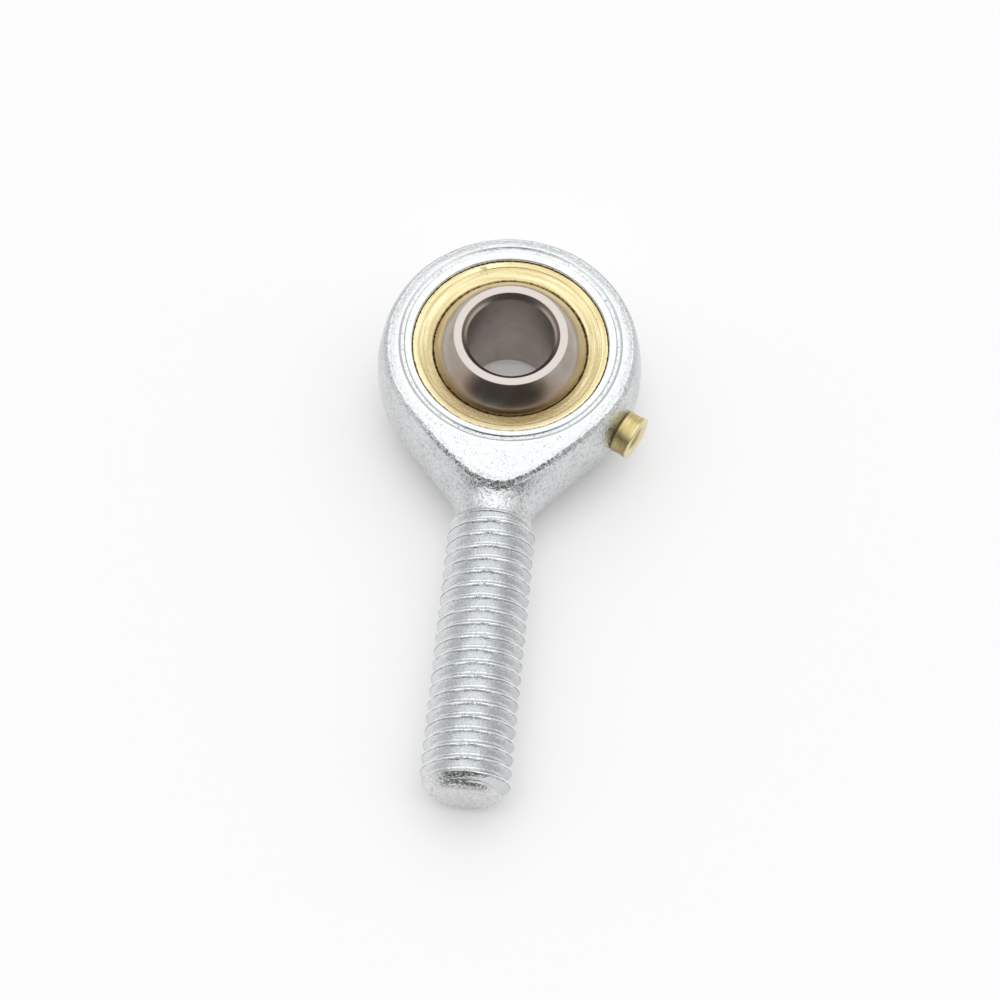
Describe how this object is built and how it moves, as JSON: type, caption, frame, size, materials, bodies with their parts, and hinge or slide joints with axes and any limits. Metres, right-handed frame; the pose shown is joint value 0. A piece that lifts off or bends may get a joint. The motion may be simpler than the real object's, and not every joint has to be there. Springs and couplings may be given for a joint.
{
  "type": "rod end bearing",
  "caption": "Male rod end: forged steel eye with a threaded shank, holding a brass race and a bored swivelling ball, with a grease nipple on the side.",
  "frame": {"origin": "centre of the ball, where the bore axis and the shank axis cross", "axes": "+Z along the bore, -Y along the shank towards its threaded tip, +X towards the side that carries the grease nipple"},
  "size_m": [0.0255, 0.0548, 0.012],
  "materials": {
    "zinc_plated_steel": "bright zinc plating over a shot-blasted forging and a rolled thread",
    "race_brass": "turned brass with fine concentric tool marks",
    "bearing_steel": "hardened steel, polished sphere with ground end faces",
    "nipple_brass": "turned brass, slightly dulled",
    "check_ball_steel": "polished steel ball",
    "spring_steel": "drawn spring wire"
  },
  "bodies": {
    "housing": {"rod_end_body": "zinc_plated_steel", "race": "race_brass", "nipple_body": "nipple_brass", "nipple_spring": "spring_steel"},
    "swivel": {"ball": "bearing_steel"},
    "valve": {"nipple_check_ball": "check_ball_steel"}
  },
  "joints": [
    {"name": "ball_tilt", "type": "hinge", "parent": "housing", "child": "swivel", "pos_m": [0, 0, 0], "axis": [1, 0, 0], "range_deg": [-13, 13]},
    {"name": "check_ball_lift", "type": "slide", "parent": "housing", "child": "valve", "axis": [-0.891, 0.454, 0], "range_m": [0, 0.0004], "stiffness_N_per_m": 200, "springref_m": -0.0006, "deforming": ["nipple_spring"]}
  ]
}
